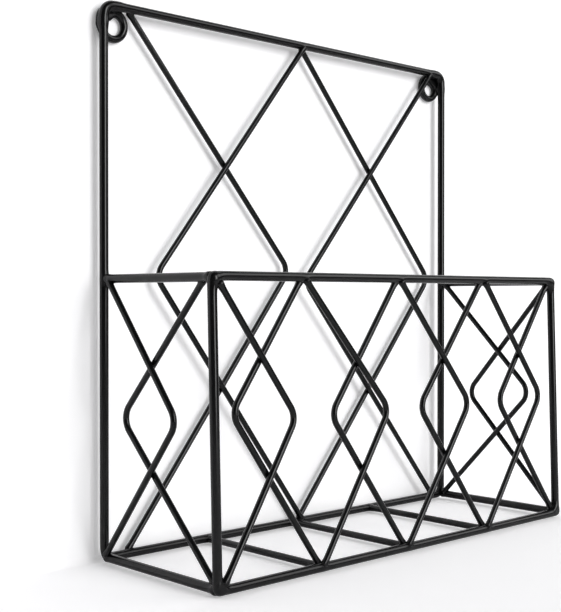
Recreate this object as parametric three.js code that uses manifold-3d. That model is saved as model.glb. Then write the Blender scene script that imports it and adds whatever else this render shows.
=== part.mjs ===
// Wall magazine rack of welded wire.
// A tall back frame and a low front frame are closed loops of thick wire. Side rails and
// base bars join them into an open basket, and thinner bent wires fill the front, the back
// and both sides with a crossed lattice. Two rings behind the top corners take the screws.
// Millimetres, +X to the right, +Y towards the wall, +Z up. The origin is the middle of the
// footprint, on the surface that the base can stand on.

import * as THREE from 'three';
import { mergeVertices } from 'three/addons/utils/BufferGeometryUtils.js';
import Module from 'manifold-3d';

const wasm = await Module();
wasm.setup();

// Overall sizes, between the centre lines of the frame wires. The depth is at the base, and
// the front leans back, so that its rim is nearer the wall by the lean.
const rackWidth = 310;
const backHeight = 322;
const basketHeight = 163;
const basketDepth = 102.5;
const rimLean = 4.5;

// Wire gauges.
const frameWire = 5;
const barWire = 4;
const latticeWire = 3.4;
const eyeWire = 4.5;

// Bends, measured to the centre line of the wire.
const cornerBend = 6.5;
const latticeBend = 10;

// How far the side rails lie inside the frames' corner points, across and up or down.
const railInset = 0.6;

// Hanging eyes: a ring behind each top corner, placed from the frame's corner point.
const eyeOutside = 21;
const eyeInset = 9.5;
const eyeDrop = 10.2;

// Joints: the air left between two pieces that are welded together, how far a wire's end
// runs into its seat before the seat is cut out of it, and the air between crossed wires.
const weldGap = 0.3;
const endBite = 1.2;
const crossGap = 0.3;

// Lattice, bent and welded by hand, so its cells aren't quite even. Joints are shares of the
// frame's width from its left upright. Reach is how far across its cell a wire's bend goes,
// and rise is how far the bend lies above mid-height. On the sides, the feet stand in from
// the corner by the top and base insets. The values follow the wires' order.
const frontTopJoints = [0, 0.213, 0.473, 0.745, 1];
const frontBaseJoints = [0, 0.245, 0.481, 0.736, 1];
const frontReach = [0.8, 0.815, 0.815, 0.78, 0.78, 0.775, 0.765, 0.775];
const frontRise = [4.5, 8.9, 3.5, 3, 2.4, 2.4, 2.6, 1.1];
const backTopJoints = [0.06, 0.519, 0.952];
const backBaseJoints = [0.056, 0.512, 0.957];
const backReach = [0.93, 0.875, 1, 0.99];
const backRise = [8.6, 3.7, 4.4, 1.5];
const leftLattice = { reach: [0.715, 0.88], rise: [3.2, 1], topInset: [3.3, 6.5], baseInset: [0, 1.5] };
const rightLattice = { reach: [0.855, 0.765], rise: [1.9, -1.5], topInset: [3, 0], baseInset: [1.5, 0] };
const barShares = [0.25, 0.49, 0.735];

// Fineness of the faceted wires.
const wireSides = 12;
const cornerSteps = 8;
const bendSteps = 8;
const eyeSteps = 32;

// Satin black powder coat over steel.
const coat = { color: 0x1d1d1f, roughness: 0.42, metalness: 0.0 };

const halfWidth = rackWidth / 2;
const frameRadius = frameWire / 2;
const cornerInset = cornerBend * (1 - Math.SQRT1_2);
const layerOffset = (latticeWire + crossGap) / 2;
const eyePlane = frameRadius + weldGap + eyeWire / 2;
const acrossRack = new THREE.Vector3(1, 0, 0);
const towardsWall = new THREE.Vector3(0, 1, 0);

const rack = new THREE.Group();

// A wire bent round each inner point of a polyline, as the points of its centre line.
function bentPath(corners, bendRadius, steps, closed) {
  const points = [];
  const count = corners.length;
  corners.forEach((corner, index) => {
    if (!closed && (index === 0 || index === count - 1)) {
      points.push(corner.clone());
      return;
    }
    const toPrevious = corners[(index + count - 1) % count].clone().sub(corner).normalize();
    const toNext = corners[(index + 1) % count].clone().sub(corner).normalize();
    const halfAngle = toPrevious.angleTo(toNext) / 2;
    const bisector = toPrevious.clone().add(toNext).normalize();
    const centre = corner.clone().addScaledVector(bisector, bendRadius / Math.sin(halfAngle));
    const along = toNext.clone().sub(toPrevious).normalize();
    const sweep = Math.PI / 2 - halfAngle;
    for (let step = 0; step <= steps; step += 1) {
      const turn = sweep * (2 * step / steps - 1);
      points.push(centre.clone()
        .addScaledVector(bisector, -bendRadius * Math.cos(turn))
        .addScaledVector(along, bendRadius * Math.sin(turn)));
    }
  });
  return points;
}

// A ring's centre line, in a plane that faces the wall.
function ringPath(centre, radius, steps) {
  const points = [];
  for (let step = 0; step < steps; step += 1) {
    const turn = 2 * Math.PI * step / steps;
    points.push(new THREE.Vector3(
      centre.x + radius * Math.cos(turn), centre.y, centre.z + radius * Math.sin(turn)));
  }
  return points;
}

// A wire: a many-sided section carried along a centre line that lies in one plane, mitred
// at each point. Flats face along the plane's normal and square to it, so a loop lies flat
// on a wall and stands flat on a table.
function wireGeometry(points, diameter, normal, closed) {
  const cornerRadius = diameter / 2 / Math.cos(Math.PI / wireSides);
  const positions = [];
  const faces = [];
  const count = points.length;
  const spans = closed ? count : count - 1;
  const directions = [];
  for (let span = 0; span < spans; span += 1) {
    directions.push(points[(span + 1) % count].clone().sub(points[span]).normalize());
  }
  points.forEach((point, index) => {
    const arriving = directions[closed ? (index + spans - 1) % spans : Math.max(index - 1, 0)];
    const leaving = directions[Math.min(index, spans - 1)];
    const mitre = 1 / Math.cos(arriving.angleTo(leaving) / 2);
    const tangent = arriving.clone().add(leaving).normalize();
    const sideways = new THREE.Vector3().crossVectors(tangent, normal);
    for (let side = 0; side < wireSides; side += 1) {
      const turn = 2 * Math.PI * (side + 0.5) / wireSides;
      const vertex = point.clone()
        .addScaledVector(sideways, mitre * cornerRadius * Math.cos(turn))
        .addScaledVector(normal, cornerRadius * Math.sin(turn));
      positions.push(vertex.x, vertex.y, vertex.z);
    }
  });
  for (let span = 0; span < spans; span += 1) {
    const near = span * wireSides;
    const far = ((span + 1) % count) * wireSides;
    for (let side = 0; side < wireSides; side += 1) {
      const next = (side + 1) % wireSides;
      faces.push(near + side, far + next, near + next);
      faces.push(near + side, far + side, far + next);
    }
  }
  if (!closed) {
    const last = (count - 1) * wireSides;
    for (let side = 1; side < wireSides - 1; side += 1) {
      faces.push(0, side, side + 1);
      faces.push(last, last + side + 1, last + side);
    }
  }
  const geometry = new THREE.BufferGeometry();
  geometry.setAttribute('position', new THREE.Float32BufferAttribute(positions, 3));
  geometry.setIndex(faces);
  return geometry;
}

function solidOf(geometry) {
  const bare = geometry.clone();
  bare.deleteAttribute('normal');
  bare.deleteAttribute('uv');
  const merged = mergeVertices(bare);
  return new wasm.Manifold(new wasm.Mesh({
    numProp: 3,
    vertProperties: new Float32Array(merged.attributes.position.array),
    triVerts: new Uint32Array(merged.index.array),
  }));
}

function geometryOf(solid) {
  const mesh = solid.getMesh();
  const geometry = new THREE.BufferGeometry();
  geometry.setAttribute('position', new THREE.BufferAttribute(mesh.vertProperties, 3));
  geometry.setIndex(new THREE.BufferAttribute(mesh.triVerts, 1));
  return geometry;
}

// A piece of wire: its centre line, gauge and plane, from which its solid and the slightly
// larger shape that its neighbours are cut to both come.
function wire(points, diameter, normal, closed = false) {
  return {
    geometry: wireGeometry(points, diameter, normal, closed),
    seat: solidOf(wireGeometry(points, diameter + 2 * weldGap, normal, closed)),
  };
}

// The wire with its ends coped to the seats that it is welded to. What a cut leaves beyond
// a seat drops off, so only the longest body stays.
function coped(piece, seats) {
  let solid = solidOf(piece.geometry);
  for (const seat of seats) {
    solid = solid.subtract(seat);
  }
  const bodies = solid.decompose();
  bodies.sort((first, second) => second.volume() - first.volume());
  return geometryOf(bodies[0]);
}

function add(name, geometry) {
  geometry.computeVertexNormals();
  const mesh = new THREE.Mesh(geometry, new THREE.MeshStandardMaterial(coat));
  mesh.name = name;
  rack.add(mesh);
}

// Where the leaning front lies, at a height above the bottom wires.
function frontDepth(height) {
  return rimLean * height / basketHeight - basketDepth;
}

// Both frames: rounded rectangles, butt-welded into closed loops.
function frameLoop(height, baseDepth, topDepth) {
  const corners = [
    new THREE.Vector3(-halfWidth, baseDepth, 0),
    new THREE.Vector3(halfWidth, baseDepth, 0),
    new THREE.Vector3(halfWidth, topDepth, height),
    new THREE.Vector3(-halfWidth, topDepth, height),
  ];
  return wire(bentPath(corners, cornerBend, cornerSteps, true), frameWire, towardsWall, true);
}

const backFrame = frameLoop(backHeight, 0, 0);
const frontFrame = frameLoop(basketHeight, frontDepth(0), frontDepth(basketHeight));
add('back_frame', backFrame.geometry);
add('front_frame', frontFrame.geometry);

// Straight rails and bars between the frames, coped to both loops. A side rail runs into
// a rounded corner, so it lies a little inside the frames' corner points.
function spanWire(x, z, diameter) {
  const points = [
    new THREE.Vector3(x, -endBite, z),
    new THREE.Vector3(x, endBite + frontDepth(z), z),
  ];
  return wire(points, diameter, acrossRack);
}

const sides = { left: -1, right: 1 };
const rims = {};
const baseRails = {};
for (const [side, sign] of Object.entries(sides)) {
  const x = sign * (halfWidth - railInset);
  rims[side] = spanWire(x, basketHeight - railInset, frameWire);
  baseRails[side] = spanWire(x, railInset, frameWire);
  add(`rim_rail_${side}`, coped(rims[side], [backFrame.seat, frontFrame.seat]));
  add(`base_rail_${side}`, coped(baseRails[side], [backFrame.seat, frontFrame.seat]));
}

const bars = barShares.map((share) => spanWire(share * rackWidth - halfWidth, 0, barWire));
bars.forEach((bar, index) => {
  add(`base_bar_${index + 1}`, coped(bar, [backFrame.seat, frontFrame.seat]));
});

// Hanging eyes: closed rings that lie flat against the back of the top corners.
const eyes = {};
for (const [side, sign] of Object.entries(sides)) {
  const centre = new THREE.Vector3(sign * (halfWidth - eyeInset), eyePlane, backHeight - eyeDrop);
  const path = ringPath(centre, (eyeOutside - eyeWire) / 2, eyeSteps);
  eyes[side] = wire(path, eyeWire, towardsWall, true);
  add(`hanging_eye_${side}`, eyes[side].geometry);
}

// A lattice wire: an end on the lower rail, one bend, and an end on the upper rail.
function latticeWireBetween(low, bend, high, normal) {
  return wire(bentPath([low, bend, high], latticeBend, bendSteps, false), latticeWire, normal);
}

// How far a lattice wire's end stands in from a rail's centre line, and from a corner's.
const railSeat = endBite;
const cornerSeat = cornerInset + endBite;

// Front lattice: in each cell one wire bends to the right in front of one that bends left.
const rails = [...Object.values(rims), ...Object.values(baseRails)];
const frontSeats = [frontFrame, ...rails, ...bars].map((piece) => piece.seat);
const frontWires = [];
const cells = frontTopJoints.length - 1;
function frontEnd(shares, joint, layer, railHeight, inward) {
  const atCorner = joint === 0 || joint === cells;
  const seat = atCorner ? cornerSeat : railSeat;
  const x = THREE.MathUtils.clamp(
    shares[joint] * rackWidth - halfWidth, cornerSeat - halfWidth, halfWidth - cornerSeat);
  const z = railHeight + inward * seat;
  return new THREE.Vector3(x, layer + frontDepth(z), z);
}
for (let cell = 0; cell < cells; cell += 1) {
  const ends = [[cell, cell + 1, -layerOffset], [cell + 1, cell, layerOffset]];
  ends.forEach(([from, to, layer], order) => {
    const low = frontEnd(frontBaseJoints, from, layer, 0, 1);
    const high = frontEnd(frontTopJoints, from, layer, basketHeight, -1);
    const near = (frontBaseJoints[from] + frontTopJoints[from]) / 2;
    const far = (frontBaseJoints[to] + frontTopJoints[to]) / 2;
    const number = 2 * cell + order;
    const bendX = (near + frontReach[number] * (far - near)) * rackWidth - halfWidth;
    const bendZ = basketHeight / 2 + frontRise[number];
    const bend = new THREE.Vector3(bendX, layer + frontDepth(bendZ), bendZ);
    frontWires.push(latticeWireBetween(low, bend, high, towardsWall));
  });
}
frontWires.forEach((piece, index) => {
  add(`front_lattice_wire_${index + 1}`, coped(piece, frontSeats));
});

// Back lattice: two tall cells whose outer ends stand in from the corners. The wires that
// bend to the left pass in front here.
const backSeats = [backFrame.seat, ...Object.values(eyes).map((eye) => eye.seat)];
const backWires = [];
for (let cell = 0; cell < backTopJoints.length - 1; cell += 1) {
  const ends = [[cell, cell + 1, layerOffset], [cell + 1, cell, -layerOffset]];
  ends.forEach(([from, to, depth], order) => {
    const number = 2 * cell + order;
    const near = (backBaseJoints[from] + backTopJoints[from]) / 2;
    const far = (backBaseJoints[to] + backTopJoints[to]) / 2;
    const lowX = backBaseJoints[from] * rackWidth - halfWidth;
    const bendX = (near + backReach[number] * (far - near)) * rackWidth - halfWidth;
    const highX = backTopJoints[from] * rackWidth - halfWidth;
    const low = new THREE.Vector3(lowX, depth, railSeat);
    const bend = new THREE.Vector3(bendX, depth, backHeight / 2 + backRise[number]);
    const high = new THREE.Vector3(highX, depth, backHeight - railSeat);
    backWires.push(latticeWireBetween(low, bend, high, towardsWall));
  });
}
backWires.forEach((piece, index) => {
  add(`back_lattice_wire_${index + 1}`, coped(piece, backSeats));
});

// Side lattices: one cell each. The first wire starts at the back upright and bends to the
// front, and the second starts at the front frame and bends to the back.
const sideLattices = { left: leftLattice, right: rightLattice };
for (const [side, sign] of Object.entries(sides)) {
  const seats = [
    backFrame.seat, frontFrame.seat, rims[side].seat, baseRails[side].seat,
    ...frontWires.map((piece) => piece.seat),
  ];
  const lattice = sideLattices[side];
  const plane = sign * (halfWidth - railInset);
  const cellBack = () => -cornerSeat;
  const cellFront = (height) => cornerSeat + frontDepth(height);
  const ends = [[cellBack, cellFront, -layerOffset, -1], [cellFront, cellBack, layerOffset, 1]];
  ends.forEach(([from, to, layer, inward], order) => {
    const x = plane + layer;
    const lowZ = railInset + railSeat;
    const bendZ = basketHeight / 2 + lattice.rise[order];
    const highZ = basketHeight - railInset - railSeat;
    const bendY = from(bendZ) + lattice.reach[order] * (to(bendZ) - from(bendZ));
    const low = new THREE.Vector3(x, from(lowZ) + inward * lattice.baseInset[order], lowZ);
    const bend = new THREE.Vector3(x, bendY, bendZ);
    const high = new THREE.Vector3(x, from(highZ) + inward * lattice.topInset[order], highZ);
    const piece = latticeWireBetween(low, bend, high, acrossRack);
    add(`${side}_lattice_wire_${order + 1}`, coped(piece, seats));
  });
}

// The rack's own frame: the underside of the base wires at zero, the footprint centred.
const extent = new THREE.Box3().setFromObject(rack);
rack.position.set(0, -(extent.min.y + extent.max.y) / 2, frameRadius);

export default rack;
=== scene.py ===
import bpy
import numpy as np
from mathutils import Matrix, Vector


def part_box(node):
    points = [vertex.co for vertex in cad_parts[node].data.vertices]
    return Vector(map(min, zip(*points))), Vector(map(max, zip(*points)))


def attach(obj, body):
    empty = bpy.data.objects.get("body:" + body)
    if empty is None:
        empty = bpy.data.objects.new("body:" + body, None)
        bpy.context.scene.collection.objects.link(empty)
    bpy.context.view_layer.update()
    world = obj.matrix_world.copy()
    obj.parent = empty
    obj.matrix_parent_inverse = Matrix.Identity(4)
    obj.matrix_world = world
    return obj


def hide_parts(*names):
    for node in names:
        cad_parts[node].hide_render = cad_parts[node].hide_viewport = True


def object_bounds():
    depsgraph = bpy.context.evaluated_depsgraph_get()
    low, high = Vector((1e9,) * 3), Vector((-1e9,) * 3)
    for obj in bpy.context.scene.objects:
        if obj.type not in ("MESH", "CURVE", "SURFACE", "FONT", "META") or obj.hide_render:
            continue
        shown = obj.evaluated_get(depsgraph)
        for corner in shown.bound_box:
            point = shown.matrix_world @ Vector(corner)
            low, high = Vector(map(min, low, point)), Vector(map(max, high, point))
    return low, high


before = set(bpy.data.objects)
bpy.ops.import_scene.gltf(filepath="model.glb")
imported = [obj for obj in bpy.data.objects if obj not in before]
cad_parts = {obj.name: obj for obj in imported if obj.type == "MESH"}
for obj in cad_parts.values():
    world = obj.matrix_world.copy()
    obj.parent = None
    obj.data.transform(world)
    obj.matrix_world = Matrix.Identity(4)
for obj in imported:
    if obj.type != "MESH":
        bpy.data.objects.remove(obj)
cad_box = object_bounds()

# Back frame. One length of thick mild steel wire, bent round four corners and butt-welded
# into an upright rectangle. Like the whole rack it is powder coated satin black after the
# welding, so the coat runs over every joint.

millimetre = 0.001
points_per_bend = 25


def bent_line(corners, bend_radius, closed):
    """Centre line of a bent wire: straight runs, and at each corner an arc of the bend
    radius about the point at radius / sin(half the corner's angle) along its bisector."""
    corners = np.asarray(corners, float)
    count = len(corners)
    turn_steps = np.linspace(-1, 1, points_per_bend)
    runs = []
    for index in range(count):
        corner = corners[index]
        if not closed and index in (0, count - 1):
            runs.append(corner[None])
            continue
        back = corners[index - 1] - corner
        ahead = corners[(index + 1) % count] - corner
        back /= np.linalg.norm(back)
        ahead /= np.linalg.norm(ahead)
        half_angle = np.arccos(np.clip(back @ ahead, -1, 1)) / 2
        bisector = (back + ahead) / np.linalg.norm(back + ahead)
        along = (ahead - back) / np.linalg.norm(ahead - back)
        centre = corner + bisector * bend_radius / np.sin(half_angle)
        turn = (np.pi / 2 - half_angle) * turn_steps[:, None]
        runs.append(centre + bend_radius * (along * np.sin(turn) - bisector * np.cos(turn)))
    return np.concatenate(runs)


ring_spacing = 0.8 * millimetre
end_ring_shares = np.array([0, 0.015, 0.06, 0.13, 0.23, 0.36, 0.52, 0.72])


def ring_places(total, radius, closed):
    """Distances along a wire at which it gets a ring of points: one each ring spacing, and
    over the rounded ends of an open wire closer, at shares of its radius."""
    rings = int(total / ring_spacing)
    if closed:
        return np.linspace(0, total, rings, endpoint=False)
    near_end = radius * end_ring_shares
    middle = np.linspace(radius, total - radius, rings)
    return np.concatenate([near_end, middle, total - near_end[::-1]])


nose_length = 0.7
smallest_ring = 0.02


def blunt_radius(distance, radius):
    """Radius of a wire by the distance from its sheared end: a quarter ellipse, as high as
    the radius and the nose length, a share of the radius, long."""
    nose = np.clip(distance / (nose_length * radius), 0, 1)
    return radius * np.maximum(np.sqrt(1 - (1 - nose) ** 2), smallest_ring)


coat_thickness = 0.12 * millimetre
wire_sides = 28
bend_flattening = 0.125
tightest_bend = 0.5
smoothed_rings = 5
least_spacing = 0.05


def wire_surface(line, diameter, normal, closed=False):
    """A round section carried along a planar centre line: each ring is the line's point
    plus radius times (sideways * cos + normal * sin). A bend flattens the section towards
    its own centre by an eighth of radius over bend radius, and widens it across by half of
    that. The radius is the bare wire's and the coat's thickness together."""
    normal = np.asarray(normal, float)
    radius = diameter / 2 + coat_thickness
    path = np.concatenate([line, line[:1]]) if closed else line
    travelled = np.concatenate([[0], np.cumsum(np.linalg.norm(np.diff(path, axis=0), axis=1))])
    total = travelled[-1]
    places = ring_places(total, radius, closed)
    line = np.stack([np.interp(places, travelled, path[:, axis]) for axis in range(3)], 1)
    if closed:
        ahead = np.roll(line, -1, axis=0) - np.roll(line, 1, axis=0)
        section = np.full(len(line), radius)
    else:
        ahead = np.gradient(line, places, axis=0)
        section = blunt_radius(np.minimum(places, total - places), radius)
    ahead /= np.linalg.norm(ahead, axis=1)[:, None]
    following = np.roll(ahead, -1, axis=0)
    spacing = np.linalg.norm(np.roll(line, -1, axis=0) - line, axis=1)
    spacing = np.maximum(spacing, least_spacing * radius)
    curvature = np.linalg.norm(following - ahead, axis=1) / spacing
    if not closed:
        curvature[0] = curvature[-1] = 0
    padded = np.pad(curvature, smoothed_rings // 2, mode="wrap" if closed else "edge")
    even_shares = np.full(smoothed_rings, 1 / smoothed_rings)
    curvature = np.convolve(padded, even_shares, mode="valid")
    flattening = bend_flattening * np.minimum(curvature * radius, tightest_bend)
    sideways = np.cross(ahead, normal)
    turn = np.linspace(0, 2 * np.pi, wire_sides + 1)[:-1]
    across = (section * (1 - flattening))[:, None, None] * np.cos(turn)[None, :, None]
    along_normal = (section * (1 + flattening / 2))[:, None, None] * np.sin(turn)[None, :, None]
    return line[:, None] + across * sideways[:, None] + along_normal * normal


def piece_from(name, surface, closed=False):
    """One mesh object from a grid of rings by sides: quads between the rings, and a fan of
    triangles over each open end."""
    rings, sides = surface.shape[:2]
    number = np.arange(rings * sides).reshape(rings, sides)
    near = number if closed else number[:-1]
    far = np.roll(number, -1, axis=0) if closed else number[1:]
    quads = np.stack([near, far, np.roll(far, -1, 1), np.roll(near, -1, 1)], -1)
    faces = quads.reshape(-1, 4).tolist()
    points = surface.reshape(-1, 3)
    if not closed:
        points = np.concatenate([points, surface[0].mean(0)[None], surface[-1].mean(0)[None]])
        first, last = number[0], number[-1]
        fan = np.stack([np.full(sides, rings * sides), first, np.roll(first, -1)], -1)
        end = np.stack([np.full(sides, rings * sides + 1), np.roll(last, -1), last], -1)
        faces += fan.tolist() + end.tolist()
    mesh = bpy.data.meshes.new(name)
    mesh.from_pydata(points, [], faces)
    mesh.polygons.foreach_set("use_smooth", np.ones(len(mesh.polygons), bool))
    mesh.update()
    piece = bpy.data.objects.new(name, mesh)
    bpy.context.scene.collection.objects.link(piece)
    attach(piece, "root")
    return piece


class Socket:
    """A shader socket in an expression: each operator adds the Math node that works it out."""

    def __init__(self, finish, output):
        self.finish, self.output = finish, output

    def math(self, operation, first, second):
        return self.finish.node("Math", {"operation": operation}, {0: first, 1: second})[0]

    def __add__(self, other):
        return self.math("ADD", self, other)

    def __radd__(self, other):
        return self.math("ADD", other, self)

    def __mul__(self, other):
        return self.math("MULTIPLY", self, other)

    def __rmul__(self, other):
        return self.math("MULTIPLY", other, self)


class Finish:
    """The nodes of a material or of the sky. node() adds one: its settings first, then the
    value or the link of each socket, by name or number. A Mix node of colours has its
    factor at 0 and its colours at 6 and 7. It gives back the outputs."""

    def __init__(self, surface):
        self.surface = surface
        surface.use_nodes = True
        self.tree = surface.node_tree
        self.tree.nodes.clear()

    def node(self, kind, settings, sockets):
        added = self.tree.nodes.new("ShaderNode" + kind)
        for setting, value in settings.items():
            setattr(added, setting, value)
        for key, value in sockets.items():
            if isinstance(value, Socket):
                self.tree.links.new(value.output, added.inputs[key])
            else:
                added.inputs[key].default_value = value
        return [Socket(self, output) for output in added.outputs]

    def noise(self, grain, detail, roughness=0.5):
        """Noise on Object coordinates, with features about one grain wide, in metres."""
        place = self.node("TexCoord", {}, {})[3]
        return self.node("TexNoise", {}, {
            "Vector": place, "Scale": 1 / grain, "Detail": detail, "Roughness": roughness})[0]

    def between(self, low, high, share):
        """A share of a value's range, straight from low at 0 to high at 1, clamped."""
        return self.node("MapRange", {}, {
            "Value": share, "From Min": low, "From Max": high})[0]

    def finish(self, shader, output="OutputMaterial"):
        self.node(output, {}, {"Surface": shader})
        return self.surface


drift_length = 60 * millimetre
grain_size = 0.28 * millimetre
ripple_size = 0.9 * millimetre
rough_octaves = 0.6
dusty_slopes = (0.2, 1.0)
dusty_patches = (0.35, 0.75)
most_dust = 0.6
skin_depth = 0.05 * millimetre
skin_strength = 0.22
peel_share = 0.75
grain_share = 0.25
ripple_share = 1.5
drift_dulls = 0.08
grain_dulls = 0.04
dust_dulls = 0.08
weld_dulls = 0.06
coat_index = 1.37


def powder_coat(name, black, dusty, peel_size, gloss_loss):
    """Satin black powder coat: an orange-peel skin of small soft hills under a finer grain,
    a roughness that drifts along the wire, a trace of dust on what faces up, and the ripple
    of the weld metal that shows through the coat round each joint."""
    coat = Finish(bpy.data.materials.new(name))
    drift = coat.noise(drift_length, detail=3)
    peel = coat.noise(peel_size, detail=2)
    grain = coat.noise(grain_size, detail=2, roughness=rough_octaves)
    ripple = coat.noise(ripple_size, detail=3, roughness=rough_octaves)
    weld = coat.node("Attribute", {"attribute_name": "weld"}, {})[2]
    facing = coat.node("NewGeometry", {}, {})[1]
    upward = coat.node("SeparateXYZ", {}, {0: facing})[2]
    dust = coat.between(*dusty_slopes, upward) * coat.between(*dusty_patches, drift)
    colour = coat.node("Mix", {"data_type": "RGBA"}, {
        0: dust * most_dust, 6: (*black, 1), 7: (*dusty, 1)})[2]
    height = peel * peel_share + grain * grain_share + ripple * weld * ripple_share
    skin = coat.node("Bump", {}, {
        "Strength": skin_strength, "Distance": skin_depth, "Height": height})[0]
    roughness = (
        gloss_loss + drift * drift_dulls + grain * grain_dulls + dust * dust_dulls
        + weld * weld_dulls)
    shader = coat.node("BsdfPrincipled", {}, {
        "Base Color": colour, "Roughness": roughness, "Normal": skin, "IOR": coat_index})[0]
    return coat.finish(shader)


coated_pieces = []


def dress(piece, material, node):
    """The piece takes its material and slot, and stands for the CAD node it is named for."""
    piece.data.materials.append(material)
    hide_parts(node)
    coated_pieces.append((piece, node))


back_low, back_high = (np.array(corner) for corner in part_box("back_frame"))
frame_wire = back_high[1] - back_low[1]
frame_radius = frame_wire / 2
frame_bend = 6.5 * millimetre
half_width = back_high[0] - frame_radius
back_plane = (back_low[1] + back_high[1]) / 2
base_level = back_low[2] + frame_radius
top_level = back_high[2] - frame_radius
towards_wall = (0, 1, 0)

frame_coat = powder_coat(
    "satin black coat on thick wire", black=(0.003, 0.003, 0.0033),
    dusty=(0.009, 0.009, 0.010), peel_size=1.3 * millimetre, gloss_loss=0.12)


def frame_loop(base_plane, top_plane, level):
    """A closed rounded rectangle of frame wire: its bottom in the base plane at the base
    level, and its top in the top plane at the level given."""
    corners = [
        (-half_width, base_plane, base_level), (half_width, base_plane, base_level),
        (half_width, top_plane, level), (-half_width, top_plane, level)]
    line = bent_line(corners, frame_bend, closed=True)
    return wire_surface(line, frame_wire, towards_wall, closed=True)


back_frame = piece_from(
    "back_frame_coated", frame_loop(back_plane, back_plane, top_level), closed=True)
dress(back_frame, frame_coat, "back_frame")

# Front frame. The same thick wire bent into a lower rectangle, which is the front of the
# basket. Its top is the rim and leans a little towards the wall, and its bottom wire is
# level with the back frame's.

front_low, front_high = (np.array(corner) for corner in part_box("front_frame"))
front_base_plane = front_low[1] + frame_radius
rim_plane = front_high[1] - frame_radius
rim_level = front_high[2] - frame_radius


def front_plane(level):
    """Where the leaning front lies at a level: straight from the base's plane to the rim's."""
    share = (level - base_level) / (rim_level - base_level)
    return front_base_plane + share * (rim_plane - front_base_plane)


front_frame = piece_from(
    "front_frame_coated", frame_loop(front_base_plane, rim_plane, rim_level), closed=True)
dress(front_frame, frame_coat, "front_frame")

# Rim and base rails. Straight cuts of the thick wire that join the two frames, butt-welded
# into the corners of the front frame, and at the back to the upright and the lower corner.
# The weld metal fills the rounded corners.

end_bite = 1.2 * millimetre
corner_bite = 0.8 * millimetre
end_bead_edge = 0.6 * millimetre
end_bead_height = 0.75 * millimetre
across_rack = (1, 0, 0)
weld_places = []


def weld(point, reach, height):
    """Notes a place with a bead of weld metal, how far it reaches and how high it stands."""
    weld_places.append((*point, reach, height))


def welded_end(point, direction, wire_diameter):
    """Notes the weld of a wire that ends at a point inside a frame wire: where the wire, as
    it leaves in the direction given, comes out through the frame wire's surface."""
    direction = np.asarray(direction) / np.linalg.norm(direction)
    outside = np.asarray(point) + direction * (frame_radius - end_bite)
    weld(outside, wire_diameter / 2 + end_bead_edge, end_bead_height)


def span(node, rear_bite, fore_bite):
    """A straight wire between the frames, along the middle of its CAD node. Each end stops
    short of a frame's centre line by its bite. An end in a rounded corner has its bead in
    the sharp corner that the frame's own lines make."""
    low, high = (np.array(corner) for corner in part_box(node))
    x, _, z = (low + high) / 2
    diameter = high[2] - low[2]
    rear = np.array([x, back_plane - rear_bite, z])
    fore = np.array([x, front_plane(z) + fore_bite, z])
    if fore_bite == corner_bite:
        weld((x, front_plane(z), z), reach=3.3 * millimetre, height=2.4 * millimetre)
    else:
        welded_end(fore, rear - fore, diameter)
    if rear_bite == corner_bite:
        weld((x, back_plane, z), reach=3.0 * millimetre, height=0.9 * millimetre)
    else:
        welded_end(rear, fore - rear, diameter)
    return wire_surface(np.array([rear, fore]), diameter, across_rack)


for side in ("left", "right"):
    for rail, rear_bite in (("rim_rail_", end_bite), ("base_rail_", corner_bite)):
        surface = span(rail + side, rear_bite, corner_bite)
        dress(piece_from(rail + side + "_coated", surface), frame_coat, rail + side)

# Base bars. Thinner straight wires across the bottom, welded between the two frames' lower
# wires. Papers stand on them.

for bar in ("base_bar_1", "base_bar_2", "base_bar_3"):
    surface = span(bar, end_bite, end_bite)
    dress(piece_from(bar + "_coated", surface), frame_coat, bar)

# Front lattice. Eight thin wires, each with one bend, welded by their sheared ends to the
# rim and the bottom wire. The cells are given one by one, and they aren't quite even. In
# each cell the wire that bends right passes in front of the one that bends left.

rack_width = 2 * half_width
lattice_low, lattice_high = (np.array(corner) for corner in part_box("left_lattice_wire_1"))
lattice_wire = lattice_high[0] - lattice_low[0]
crossing_gap = 0.3 * millimetre
layer_offset = (lattice_wire + crossing_gap) / 2
lattice_bend = 10 * millimetre

# Joints are shares of the rack's width from the left. A bend's reach is a share of its
# cell's width, and its rise above halfway between the two rails is in millimetres.

front_top_joints = np.array([0, 0.213, 0.473, 0.745, 1])
front_base_joints = np.array([0, 0.245, 0.481, 0.736, 1])
front_reach = (0.8, 0.815, 0.815, 0.78, 0.78, 0.775, 0.765, 0.775)
front_rise = (4.5, 8.9, 3.5, 3, 2.4, 2.4, 2.6, 1.1)

corner_inset = frame_bend * (1 - np.sqrt(0.5))
corner_seat = corner_inset + end_bite

lattice_coat = powder_coat(
    "satin black coat on thin wire", black=(0.0025, 0.0025, 0.0028),
    dusty=(0.008, 0.008, 0.009), peel_size=1.0 * millimetre, gloss_loss=0.13)


def lattice_piece(node, low, bend, high, normal):
    """A thin wire with an end on a lower rail, one bend, and an end on an upper rail."""
    low, bend, high = (np.array(point) for point in (low, bend, high))
    welded_end(low, bend - low, lattice_wire)
    welded_end(high, bend - high, lattice_wire)
    line = bent_line([low, bend, high], lattice_bend, closed=False)
    surface = wire_surface(line, lattice_wire, normal)
    dress(piece_from(node + "_coated", surface), lattice_coat, node)


def front_end(share, inward, rail_level, in_corner):
    """Where a front wire ends: in from the rail's centre line, and in from a corner."""
    limit = half_width - corner_seat
    x = np.clip(share * rack_width - half_width, -limit, limit)
    return x, rail_level + inward * (corner_seat if in_corner else end_bite)


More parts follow.
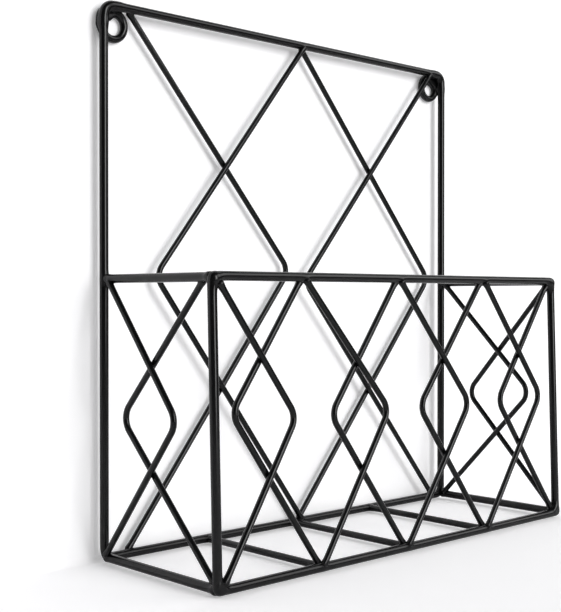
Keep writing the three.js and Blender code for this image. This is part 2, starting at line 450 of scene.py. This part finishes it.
joints = (front_base_joints + front_top_joints) / 2
for wire in range(8):
    cell, bends_left = divmod(wire, 2)
    near, far = (cell + 1, cell) if bends_left else (cell, cell + 1)
    layer = layer_offset if bends_left else -layer_offset
    in_corner = near in (0, 4)
    low_x, low_z = front_end(front_base_joints[near], 1, base_level, in_corner)
    high_x, high_z = front_end(front_top_joints[near], -1, rim_level, in_corner)
    if in_corner:
        for x, z in ((low_x, low_z), (high_x, high_z)):
            weld((x, front_plane(z), z), reach=3.4 * millimetre, height=1.2 * millimetre)
    bend_x = (joints[near] + front_reach[wire] * (joints[far] - joints[near])) * rack_width
    bend_z = (base_level + rim_level) / 2 + front_rise[wire] * millimetre
    lattice_piece(
        f"front_lattice_wire_{wire + 1}", (low_x, front_plane(low_z) + layer, low_z),
        (bend_x - half_width, front_plane(bend_z) + layer, bend_z),
        (high_x, front_plane(high_z) + layer, high_z), towards_wall)

# Back lattice. Four longer thin wires in two tall cells, whose outer ends stand in from
# the corners. Here the wires that bend left pass in front.

back_top_joints = np.array([0.06, 0.519, 0.952])
back_base_joints = np.array([0.056, 0.512, 0.957])
back_reach = (0.93, 0.875, 1, 0.99)
back_rise = (8.6, 3.7, 4.4, 1.5)
joints = (back_base_joints + back_top_joints) / 2
for wire in range(4):
    cell, bends_left = divmod(wire, 2)
    near, far = (cell + 1, cell) if bends_left else (cell, cell + 1)
    plane = back_plane + (-layer_offset if bends_left else layer_offset)
    low_x = back_base_joints[near] * rack_width - half_width
    bend_x = (joints[near] + back_reach[wire] * (joints[far] - joints[near])) * rack_width
    high_x = back_top_joints[near] * rack_width - half_width
    bend_z = (base_level + top_level) / 2 + back_rise[wire] * millimetre
    lattice_piece(
        f"back_lattice_wire_{wire + 1}", (low_x, plane, base_level + end_bite),
        (bend_x - half_width, plane, bend_z), (high_x, plane, top_level - end_bite),
        towards_wall)

# Side lattices. Two crossed thin wires close each end of the basket, one from the back
# upright and one from the front frame. Some of their feet stand in from the corners.

rail_inset = 0.6 * millimetre

# The first of two values is for the wire from the back upright. A reach is a share of the
# side's width, and the rises and insets here are in millimetres.

side_reach = {"left": (0.715, 0.88), "right": (0.855, 0.765)}
side_rise = {"left": (3.2, 1), "right": (1.9, -1.5)}
top_inset = {"left": (3.3, 6.5), "right": (3, 0)}
base_inset = {"left": (0, 1.5), "right": (1.5, 0)}


def side_corner(from_front, level, inset):
    """How far along the side a foot or a cell's edge lies: in from a frame's corner."""
    seat = corner_seat + inset * millimetre
    return front_plane(level) + seat if from_front else back_plane - seat


low_z = base_level + rail_inset + end_bite
high_z = rim_level - rail_inset - end_bite
for side in ("left", "right"):
    for wire in range(2):
        node = f"{side}_lattice_wire_{wire + 1}"
        low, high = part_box(node)
        plane = (low[0] + high[0]) / 2
        bend_z = (base_level + rim_level) / 2 + side_rise[side][wire] * millimetre
        near, far = side_corner(wire == 1, bend_z, 0), side_corner(wire == 0, bend_z, 0)
        lattice_piece(
            node, (plane, side_corner(wire == 1, low_z, base_inset[side][wire]), low_z),
            (plane, near + side_reach[side][wire] * (far - near), bend_z),
            (plane, side_corner(wire == 1, high_z, top_inset[side][wire]), high_z),
            across_rack)

# Hanging eyes. Short wires coiled into closed rings and welded flat behind the back
# frame's top corners. The rack hangs by them. Each has four beads: on the upright, on the
# top wire, between them on the diagonal, and a wide one that closes in on the hole.

ring_steps = 96
filling_across = 0.45
filling_up = 0.65

for side, sign in (("left", -1), ("right", 1)):
    node = f"hanging_eye_{side}"
    low, high = (np.array(corner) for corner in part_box(node))
    centre = (low + high) / 2
    eye_wire = high[1] - low[1]
    eye_radius = (high[0] - low[0] - eye_wire) / 2
    turn = np.linspace(0, 2 * np.pi, ring_steps + 1)[:-1, None]
    ring = centre + eye_radius * (
        np.cos(turn) * np.array([1, 0, 0]) + np.sin(turn) * np.array([0, 0, 1]))
    eye = piece_from(
        node + "_coated", wire_surface(ring, eye_wire, towards_wall, closed=True), closed=True)
    dress(eye, frame_coat, node)
    diagonal = eye_radius * np.sqrt(0.5)
    for x, z in (
            (sign * half_width, centre[2]), (centre[0], top_level),
            (centre[0] + sign * diagonal, centre[2] + diagonal)):
        weld(
            (x, back_plane + frame_radius, z), reach=3.4 * millimetre, height=2.2 * millimetre)
    filling = eye_radius * np.array([sign * filling_across, 0, filling_up])
    weld(centre + filling, reach=5.8 * millimetre, height=3.2 * millimetre)

# Welds. Each end is run into the wire that it meets with a small bead of weld metal, with
# heavier ones in the front corners and at the eyes, and the coat covers them. A bead is a
# soft swelling of all the wires round its place.

beads = np.array(weld_places)
bead_overhang = 0.4 * millimetre


def with_beads(piece, node):
    """Moves each point out along its normal by the highest of the beads' heights, each times
    the bell curve exp(-(distance / reach) squared). It goes no farther than the overhang
    outside the CAD node's box, and than the coat outside the whole rack's. Twice the highest
    bell curve, up to 1, is the piece's weld attribute."""
    mesh = piece.data
    points = np.empty(3 * len(mesh.vertices))
    outward = np.empty(3 * len(mesh.vertices))
    mesh.vertices.foreach_get("co", points)
    mesh.vertex_normals.foreach_get("vector", outward)
    points, outward = points.reshape(-1, 3), outward.reshape(-1, 3)
    away = np.linalg.norm(points[:, None] - beads[None, :, :3], axis=2)
    bell = np.exp(-((away / beads[:, 3]) ** 2))
    points += outward * (bell * beads[:, 4]).max(axis=1)[:, None]
    low, high = (np.array(corner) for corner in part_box(node))
    points = np.clip(
        points, np.maximum(low - bead_overhang, np.array(cad_box[0]) - coat_thickness),
        np.minimum(high + bead_overhang, np.array(cad_box[1]) + coat_thickness))
    mesh.vertices.foreach_set("co", points.ravel())
    attribute = mesh.attributes.new("weld", "FLOAT", "POINT")
    attribute.data.foreach_set("value", np.clip(2 * bell.max(axis=1), 0, 1))
    mesh.update()


for piece, node in coated_pieces:
    with_beads(piece, node)

# Floor and wall. A plain pale sheet that runs down the wall behind the rack, round a small
# cove and out over the floor just under the rack, and takes the soft shadows of the wires.
# It shows from its front only, so it hides nothing from behind or below.

wall_gap = 0.3 * millimetre
wall_plane = cad_box[1][1] + wall_gap
cove = 4 * millimetre
cove_points = 13
floor_level = -0.9 * millimetre
floor_reach = 0.9
wall_height = 1.0
sheet_half_width = 1.2
turn = np.linspace(0, np.pi / 2, cove_points)
profile = np.concatenate([
    [(wall_plane, wall_height)],
    np.stack([
        wall_plane - cove * (1 - np.cos(turn)), floor_level + cove * (1 - np.sin(turn))], 1),
    [(-floor_reach, floor_level)]])
sheet_mesh = bpy.data.meshes.new("pale_sheet")
sheet_mesh.from_pydata(
    [(x, y, z) for x in (-sheet_half_width, sheet_half_width) for y, z in profile], [],
    [(row + 1, row + 1 + len(profile), row + len(profile), row)
     for row in range(len(profile) - 1)])
sheet = bpy.data.objects.new("pale_sheet", sheet_mesh)
bpy.context.scene.collection.objects.link(sheet)

# The sheet is matt white. The camera, and partly the gloss, sees it lifted by a little
# light of its own, more on the floor, which the lamp only grazes, so that it reads as white
# where no shadow falls.

wall_lift = 0.2
floor_lift = 0.28
gloss_share = 0.1
sheet_white = (0.95, 0.947, 0.958, 1)
paint = Finish(bpy.data.materials.new("pale matt sheet"))
path = paint.node("LightPath", {}, {})
seen = path[0] + path[3] * gloss_share
geometry = paint.node("NewGeometry", {}, {})
upward = paint.node("SeparateXYZ", {}, {0: geometry[1]})[2]
lift = paint.node("Mix", {"data_type": "RGBA"}, {
    0: upward, 6: (wall_lift, wall_lift, wall_lift, 1),
    7: (floor_lift, floor_lift, floor_lift, 1)})[2]
matt = paint.node("BsdfDiffuse", {}, {"Color": sheet_white})[0]
glow = paint.node("Emission", {}, {"Color": lift, "Strength": seen})[0]
lit = paint.node("AddShader", {}, {0: matt, 1: glow})[0]
clear = paint.node("BsdfTransparent", {}, {})[0]
sheet_mesh.materials.append(
    paint.finish(paint.node("MixShader", {}, {0: geometry[6], 1: lit, 2: clear})[0]))

# Light. A large soft lamp low in front of the rack gives the soft shadows and the streak
# along the upright wires. A dimmer one to the right gives the streak along the rails, and
# a dim even sky fills the shadows.

aim = np.array([0, 0, 0.16])
lamp_distance = 8.0
sky_on_rack = 0.08
sky_seen = 1.0


def soft_lamp(name, bearing, height, half_across, half_up, radiance):
    """A lamp that faces the rack from a bearing and height in degrees. Its size is twice
    distance * tan(half angle), and its power radiance * pi * area."""
    bearing, height = np.radians(bearing), np.radians(height)
    light = bpy.data.lights.new(name, "AREA")
    light.shape = "RECTANGLE"
    light.size = 2 * lamp_distance * np.tan(np.radians(half_across))
    light.size_y = 2 * lamp_distance * np.tan(np.radians(half_up))
    light.energy = radiance * np.pi * light.size * light.size_y
    lamp = bpy.data.objects.new(name, light)
    lamp.location = aim + lamp_distance * np.array([
        np.sin(bearing) * np.cos(height), -np.cos(bearing) * np.cos(height), np.sin(height)])
    lamp.rotation_euler = (np.pi / 2 - height, 0, bearing)
    bpy.context.scene.collection.objects.link(lamp)


soft_lamp("front lamp", bearing=7, height=16, half_across=12, half_up=19.5, radiance=8.1)
soft_lamp("side lamp", bearing=50, height=28, half_across=17, half_up=15, radiance=2.6)

sky = Finish(bpy.data.worlds.new("even sky"))
from_camera = sky.node("LightPath", {}, {})[0]
strength = sky.node("MapRange", {}, {
    "Value": from_camera, "To Min": sky_on_rack, "To Max": sky_seen})[0]
even = sky.node("Background", {}, {"Color": (1, 1, 1, 1), "Strength": strength})[0]
bpy.context.scene.world = sky.finish(even, "OutputWorld")

# Camera. Level with the rim, to the left of the rack and turned towards it, at the
# photograph's viewing angle, for a picture 561 wide and 612 high.

picture_height = 612
focal_pixels = 1116.2
camera_bearing = np.radians(-43.161)
camera_dip = np.radians(0.510)
camera_place = (-0.5238, -0.49374, 0.1549)
camera_data = bpy.data.cameras.new("camera")
camera_data.sensor_width = 36
camera_data.lens = focal_pixels / picture_height * camera_data.sensor_width
camera_data.clip_start = 0.01
camera = bpy.data.objects.new("camera", camera_data)
camera.location = camera_place
camera.rotation_euler = (np.pi / 2 - camera_dip, 0, camera_bearing)
bpy.context.scene.collection.objects.link(camera)
bpy.context.scene.camera = camera
bpy.context.scene.view_settings.view_transform = "Standard"
